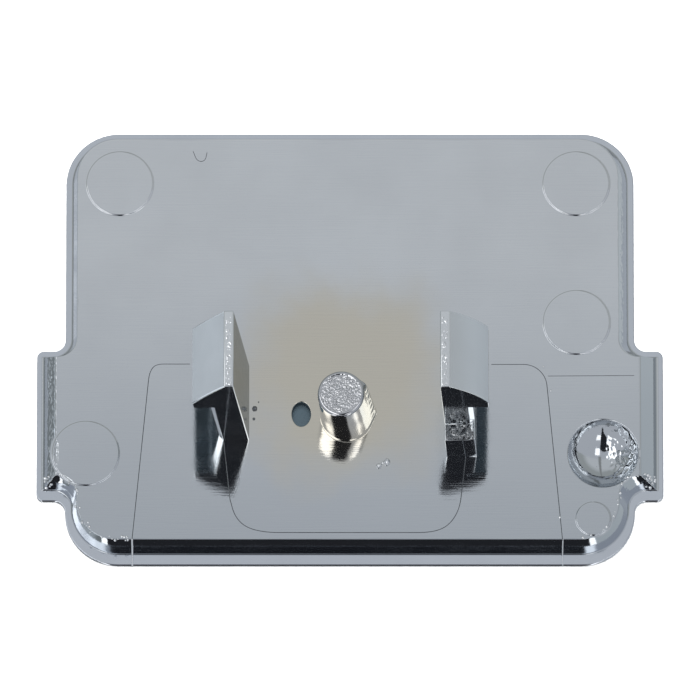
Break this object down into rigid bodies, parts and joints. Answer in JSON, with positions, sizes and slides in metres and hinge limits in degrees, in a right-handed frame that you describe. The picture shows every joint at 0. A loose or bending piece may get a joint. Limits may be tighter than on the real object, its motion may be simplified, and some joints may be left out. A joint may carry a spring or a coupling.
{
  "type": "snap-in cover plate",
  "caption": "Chrome-plated snap-in cover plate with two side ears, two sprung hooks and a centre peg on its back, lying on its front face.",
  "frame": {"origin": "centre of the front face, which is the face it lies on", "axes": "+X along the cover's length through its ears, +Y away from the end that the ears are nearer, +Z out of the back along the hooks"},
  "size_m": [0.047, 0.0338, 0.0166],
  "materials": {
    "chrome_plating": "polished",
    "pad_plating": "polished",
    "hook_plating": "polished",
    "peg_plating": "polished"
  },
  "bodies": {
    "cover": {"face_plate": "chrome_plating", "raised_pad": "pad_plating", "ejector_marks": "pad_plating", "centre_peg": "peg_plating"},
    "left_hook": {"left_snap_hook": "hook_plating"},
    "right_hook": {"right_snap_hook": "hook_plating"}
  },
  "joints": [
    {"name": "left_hook_flex", "type": "hinge", "parent": "cover", "child": "left_hook", "pos_m": [-0.00868, -0.00485, 0.0026], "axis": [0, 1, 0], "range_deg": [0, 7], "stiffness_Nm_per_rad": 2},
    {"name": "right_hook_flex", "type": "hinge", "parent": "cover", "child": "right_hook", "pos_m": [0.00838, -0.00485, 0.0026], "axis": [0, -1, 0], "range_deg": [0, 7], "stiffness_Nm_per_rad": 2}
  ]
}
